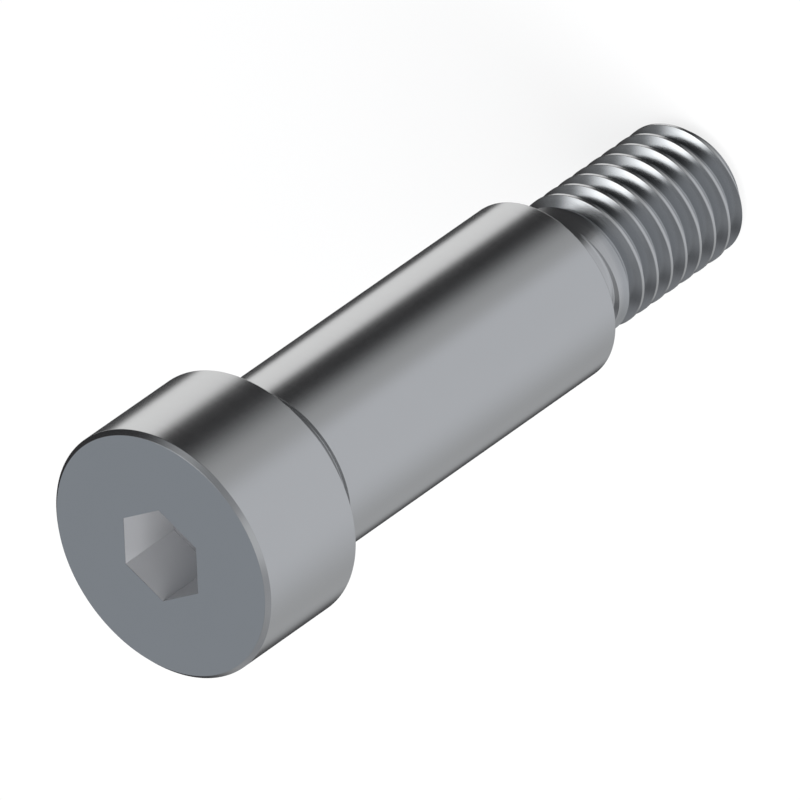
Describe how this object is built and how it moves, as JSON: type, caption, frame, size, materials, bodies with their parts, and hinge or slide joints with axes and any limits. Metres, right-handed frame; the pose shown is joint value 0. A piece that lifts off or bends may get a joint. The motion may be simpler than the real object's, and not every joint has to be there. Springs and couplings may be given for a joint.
{
  "type": "shoulder bolt",
  "caption": "Socket head shoulder bolt with a ground shoulder, a relief under the head, a neck and a threaded end.",
  "frame": {"origin": "centre of the threaded end's face, which the bolt stands on", "axes": "+Z along the bolt's axis towards the head, +X through a corner of the hexagon socket"},
  "size_m": [0.0178, 0.0178, 0.0549],
  "materials": {
    "steel": "ground and turned bright steel, uncoated"
  },
  "bodies": {
    "root": {"shoulder_bolt": "steel"}
  },
  "joints": []
}
